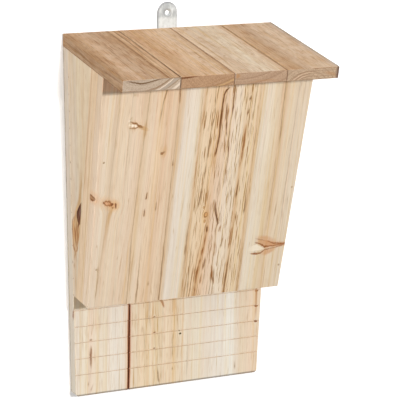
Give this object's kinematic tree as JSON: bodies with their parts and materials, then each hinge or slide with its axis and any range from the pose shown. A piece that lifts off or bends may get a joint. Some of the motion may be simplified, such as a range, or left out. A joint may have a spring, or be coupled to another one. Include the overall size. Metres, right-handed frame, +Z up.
{
  "type": "bat box",
  "caption": "Wall-hung wooden bat box: tall grooved landing board, tapered body, front leaning out to a sloping plank roof, slot entry below, metal hanger.",
  "frame": {"origin": "centre of the hanging hole, in the plane of the wall that the hanger plate's back lies on", "axes": "+X to the right seen from the front, +Y into the wall, +Z up; the front and the entry slot face -Y"},
  "size_m": [0.24, 0.1456, 0.4094],
  "materials": {
    "back_wood": "rough-sawn pale softwood, uncoated",
    "side_wood": "planed pale softwood, uncoated",
    "front_wood": "planed pale softwood with dark streaks and knots, uncoated",
    "roof_wood": "browner softwood boards, uncoated",
    "hanger_steel": "zinc-plated steel strip",
    "fastener_steel": "zinc-plated steel wire and screws"
  },
  "bodies": {
    "root": {"back_plank_narrow": "back_wood", "back_plank_wide": "back_wood", "side_left_board": "side_wood", "side_left_strip": "side_wood", "side_right_board": "side_wood", "side_right_strip": "side_wood", "front_stave_1": "front_wood", "front_stave_2": "front_wood", "front_stave_3": "front_wood", "front_stave_4": "front_wood", "roof_plank_1": "roof_wood", "roof_plank_2": "roof_wood", "roof_plank_3": "roof_wood", "roof_plank_4": "roof_wood", "hanger_plate": "hanger_steel", "hanger_screws": "fastener_steel", "front_nails": "fastener_steel", "back_nails": "fastener_steel", "roof_nails": "fastener_steel"}
  },
  "joints": []
}
